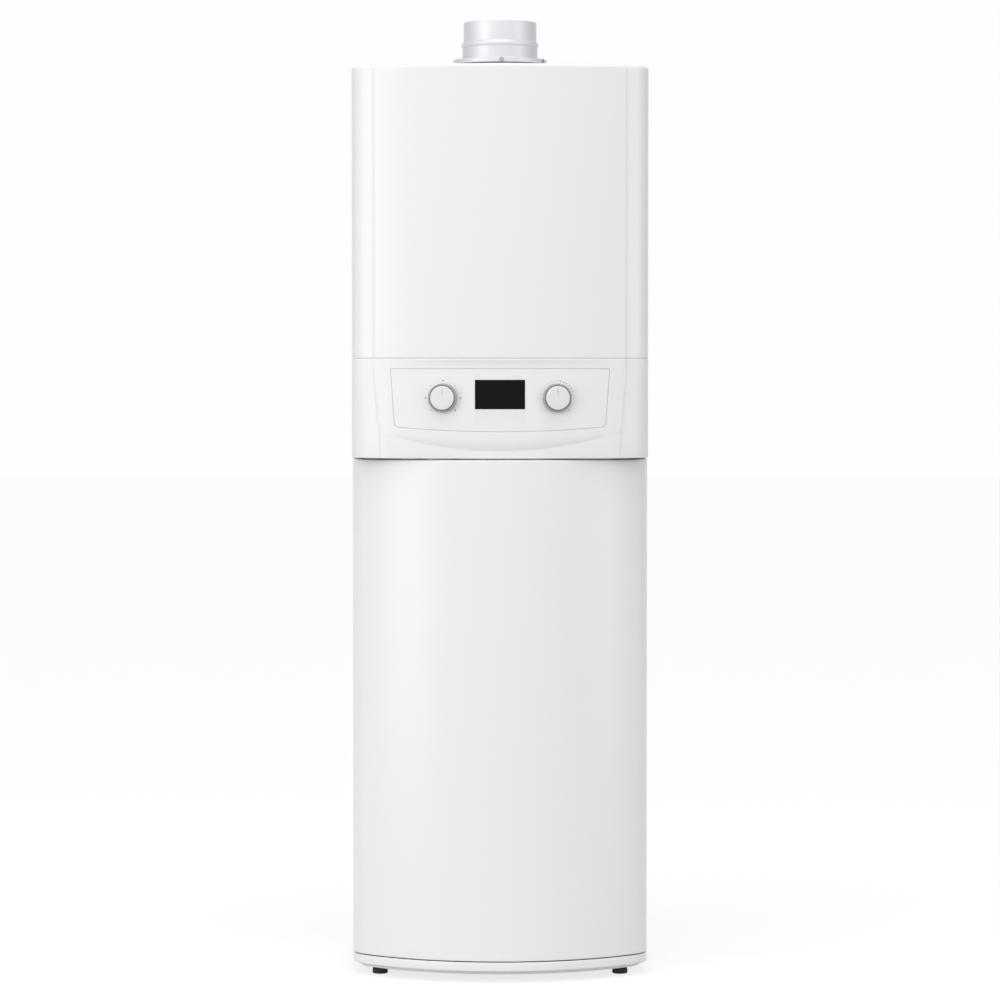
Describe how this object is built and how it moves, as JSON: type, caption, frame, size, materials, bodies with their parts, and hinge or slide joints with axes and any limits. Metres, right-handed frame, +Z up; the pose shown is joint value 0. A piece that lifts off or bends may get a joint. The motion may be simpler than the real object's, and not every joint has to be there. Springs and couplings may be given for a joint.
{
  "type": "combi boiler",
  "caption": "Floor-standing combi boiler: bowed white casing, rolled front columns, control fascia with two knobs, storage tank and balanced-flue outlet on top.",
  "frame": {"origin": "Bottom centre of the whole boiler's box, on the floor under the feet.", "axes": "+X to the right seen from the front, +Y to the back, +Z up; the front faces -Y."},
  "size_m": [0.5, 0.5188, 1.623],
  "materials": {
    "white_enamel": "white stove enamel, satin",
    "white_plastic": "moulded white plastic, satin",
    "zinc_sheet": "zinc-coated steel sheet",
    "grey_plastic": "moulded grey plastic",
    "black_plastic": "moulded black plastic",
    "foot_rubber": "black rubber over a steel stud",
    "dark_window": "smoked acrylic",
    "circuit_board": "green solder resist on glass-fibre board",
    "flue_grey": "light grey painted metal",
    "aluminium": "cast or drawn aluminium",
    "stainless_steel": "stainless steel",
    "red_enamel": "red stove enamel",
    "red_plastic": "moulded red plastic",
    "brass": "forged brass",
    "blue_enamel": "blue vitreous enamel",
    "tank_foam": null,
    "copper": null
  },
  "bodies": {
    "frame": {"base_tray": "white_enamel", "lower_side_panel_left": "white_enamel", "upper_side_panel_left": "white_enamel", "lower_side_panel_right": "white_enamel", "upper_side_panel_right": "white_enamel", "upper_back_panel": "zinc_sheet", "lower_back_panel": "zinc_sheet", "mid_shelf": "zinc_sheet", "upper_top_panel": "white_enamel", "flue_collar": "grey_plastic", "flue_adapter": "flue_grey", "flue_inner_pipe": "aluminium", "heat_exchanger": "stainless_steel", "burner_door": "aluminium", "ignition_electrode": "white_plastic", "fan_housing": "aluminium", "fan_motor": "black_plastic", "fan_venturi": "black_plastic", "gas_air_duct": "aluminium", "expansion_vessel": "red_enamel", "pump_body": "brass", "pump_motor": "black_plastic", "diverter_valve": "brass", "diverter_actuator": "black_plastic", "safety_valve": "brass", "condensate_trap": "grey_plastic", "gas_valve": "aluminium", "storage_tank": "blue_enamel", "tank_insulation_left": "tank_foam", "tank_insulation_right": "tank_foam", "tank_flange": "stainless_steel", "heating_flow_pipe": "copper", "heating_return_pipe": "copper", "hot_outlet_pipe": "copper", "cold_inlet_pipe": "copper", "gas_inlet_pipe": "copper", "gas_fan_pipe": "copper", "exchanger_flow_pipe": "copper", "exchanger_return_pipe": "copper", "coil_flow_pipe": "copper", "coil_return_pipe": "copper"},
    "upper_cover": {"upper_front_cover": "white_enamel"},
    "lower_front": {"lower_front_panel": "white_enamel"},
    "control_unit": {"control_fascia": "white_plastic", "control_panel_plate": "white_plastic", "display_window": "dark_window", "display_board": "circuit_board", "control_box": "grey_plastic", "left_knob_bezel": "grey_plastic", "right_knob_bezel": "grey_plastic", "left_encoder": "black_plastic", "right_encoder": "black_plastic"},
    "left_knob": {"left_knob": "white_plastic"},
    "right_knob": {"right_knob": "white_plastic"},
    "impeller": {"fan_impeller": "black_plastic"},
    "relief_knob": {"safety_valve_knob": "red_plastic"},
    "foot_front_left": {"foot_front_left": "foot_rubber"},
    "foot_front_right": {"foot_front_right": "foot_rubber"},
    "foot_rear_left": {"foot_rear_left": "foot_rubber"},
    "foot_rear_right": {"foot_rear_right": "foot_rubber"}
  },
  "joints": [
    {"name": "upper_cover_slide", "type": "slide", "parent": "frame", "child": "upper_cover", "axis": [0, -1, 0], "range_m": [0, 0.2]},
    {"name": "lower_front_slide", "type": "slide", "parent": "frame", "child": "lower_front", "axis": [0, -1, 0], "range_m": [0, 0.2]},
    {"name": "control_unit_slide", "type": "slide", "parent": "frame", "child": "control_unit", "axis": [0, -1, 0], "range_m": [0, 0.12]},
    {"name": "left_knob_turn", "type": "hinge", "parent": "control_unit", "child": "left_knob", "pos_m": [-0.095, -0.2418, 0.9794], "axis": [-0.1532, -0.9882, 0], "range_deg": [-135, 135]},
    {"name": "right_knob_turn", "type": "hinge", "parent": "control_unit", "child": "right_knob", "pos_m": [0.095, -0.2418, 0.9794], "axis": [0.1532, -0.9882, 0], "range_deg": [-135, 135]},
    {"name": "impeller_spin", "type": "hinge", "parent": "frame", "child": "impeller", "pos_m": [0.15, -0.12, 1.397], "axis": [0, -1, 0], "continuous": true},
    {"name": "relief_knob_turn", "type": "hinge", "parent": "frame", "child": "relief_knob", "pos_m": [-0.2026, 0.0184, 1.0579], "axis": [-1, 0, 0], "range_deg": [0, 90]},
    {"name": "foot_front_left_screw", "type": "hinge", "parent": "frame", "child": "foot_front_left", "pos_m": [-0.204, -0.1336, 0.02], "axis": [0, 0, 1], "continuous": true},
    {"name": "foot_front_right_screw", "type": "hinge", "parent": "frame", "child": "foot_front_right", "pos_m": [0.204, -0.1336, 0.02], "axis": [0, 0, 1], "continuous": true},
    {"name": "foot_rear_left_screw", "type": "hinge", "parent": "frame", "child": "foot_rear_left", "pos_m": [-0.204, 0.1804, 0.02], "axis": [0, 0, 1], "continuous": true},
    {"name": "foot_rear_right_screw", "type": "hinge", "parent": "frame", "child": "foot_rear_right", "pos_m": [0.204, 0.1804, 0.02], "axis": [0, 0, 1], "continuous": true}
  ]
}
